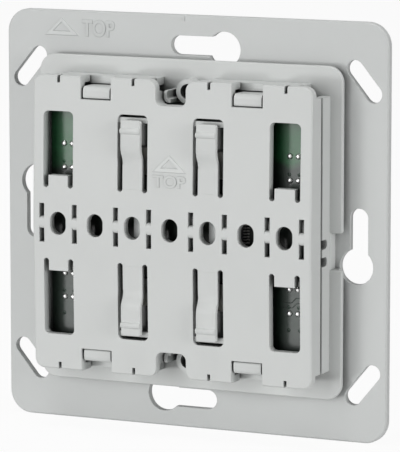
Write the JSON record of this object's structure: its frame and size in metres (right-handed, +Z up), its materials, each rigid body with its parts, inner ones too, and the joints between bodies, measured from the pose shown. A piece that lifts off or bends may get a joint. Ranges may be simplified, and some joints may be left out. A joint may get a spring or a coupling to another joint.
{
  "type": "double push-button switch insert",
  "caption": "Square flush-mount push-button insert with a keyhole support plate, a clipped module cover and springy press tongues over small switches.",
  "frame": {"origin": "centre of the support plate's back face, on the wall", "axes": "+X to the right, +Y into the wall, +Z up; the buttons face -Y"},
  "size_m": [0.071, 0.0123, 0.071],
  "materials": {
    "plate_grey": "fine matt",
    "housing_grey": "fine matt",
    "board_green": "solder mask",
    "tin": "tinned",
    "black_plastic": "matt",
    "plunger_black": "satin",
    "bright_steel": "bright",
    "contact_steel": "satin",
    "clear_plastic": "clear",
    "led_white": "white"
  },
  "bodies": {
    "module": {"support_plate": "plate_grey", "base_housing": "housing_grey", "cover": "housing_grey", "circuit_board": "board_green", "solder_pads": "tin", "controller_chip": "black_plastic", "controller_pins": "tin", "crystal": "bright_steel", "coin_cell": "bright_steel", "cell_clip": "contact_steel", "cell_spring": "contact_steel", "light_guide_left": "clear_plastic", "light_guide_right": "clear_plastic", "led_left": "led_white", "led_right": "led_white", "switch_case_upper_left": "black_plastic", "switch_legs_upper_left": "tin", "switch_dome_upper_left": "contact_steel", "switch_plate_upper_left": "contact_steel", "switch_case_upper_right": "black_plastic", "switch_legs_upper_right": "tin", "switch_dome_upper_right": "contact_steel", "switch_plate_upper_right": "contact_steel", "switch_case_lower_left": "black_plastic", "switch_legs_lower_left": "tin", "switch_dome_lower_left": "contact_steel", "switch_plate_lower_left": "contact_steel", "switch_case_lower_right": "black_plastic", "switch_legs_lower_right": "tin", "switch_dome_lower_right": "contact_steel", "switch_plate_lower_right": "contact_steel"},
    "tongue_upper_left": {"spring_tongue_upper_left": "housing_grey"},
    "plunger_upper_left": {"switch_plunger_upper_left": "plunger_black"},
    "tongue_upper_right": {"spring_tongue_upper_right": "housing_grey"},
    "plunger_upper_right": {"switch_plunger_upper_right": "plunger_black"},
    "tongue_lower_left": {"spring_tongue_lower_left": "housing_grey"},
    "plunger_lower_left": {"switch_plunger_lower_left": "plunger_black"},
    "tongue_lower_right": {"spring_tongue_lower_right": "housing_grey"},
    "plunger_lower_right": {"switch_plunger_lower_right": "plunger_black"}
  },
  "joints": [
    {"name": "press_upper_left", "type": "hinge", "parent": "module", "child": "tongue_upper_left", "pos_m": [-0.007, -0.01061, 0.007], "axis": [-1, 0, 0], "range_deg": [0, 2.9], "stiffness_Nm_per_rad": 0.5},
    {"name": "plunge_upper_left", "type": "slide", "parent": "module", "child": "plunger_upper_left", "axis": [0, 1, 0], "range_m": [0, 0.00026], "deforming": ["switch_dome_upper_left"]},
    {"name": "press_upper_right", "type": "hinge", "parent": "module", "child": "tongue_upper_right", "pos_m": [0.007, -0.01061, 0.007], "axis": [-1, 0, 0], "range_deg": [0, 2.9], "stiffness_Nm_per_rad": 0.5},
    {"name": "plunge_upper_right", "type": "slide", "parent": "module", "child": "plunger_upper_right", "axis": [0, 1, 0], "range_m": [0, 0.00026], "deforming": ["switch_dome_upper_right"]},
    {"name": "press_lower_left", "type": "hinge", "parent": "module", "child": "tongue_lower_left", "pos_m": [-0.007, -0.01061, -0.007], "axis": [1, 0, 0], "range_deg": [0, 2.9], "stiffness_Nm_per_rad": 0.5},
    {"name": "plunge_lower_left", "type": "slide", "parent": "module", "child": "plunger_lower_left", "axis": [0, 1, 0], "range_m": [0, 0.00026], "deforming": ["switch_dome_lower_left"]},
    {"name": "press_lower_right", "type": "hinge", "parent": "module", "child": "tongue_lower_right", "pos_m": [0.007, -0.01061, -0.007], "axis": [1, 0, 0], "range_deg": [0, 2.9], "stiffness_Nm_per_rad": 0.5},
    {"name": "plunge_lower_right", "type": "slide", "parent": "module", "child": "plunger_lower_right", "axis": [0, 1, 0], "range_m": [0, 0.00026], "deforming": ["switch_dome_lower_right"]}
  ],
  "couplings": [
    {"joint": "plunge_upper_left", "follows": "press_upper_left", "m_per_rad": 0.0049},
    {"joint": "plunge_upper_right", "follows": "press_upper_right", "m_per_rad": 0.0049},
    {"joint": "plunge_lower_left", "follows": "press_lower_left", "m_per_rad": 0.0049},
    {"joint": "plunge_lower_right", "follows": "press_lower_right", "m_per_rad": 0.0049}
  ]
}
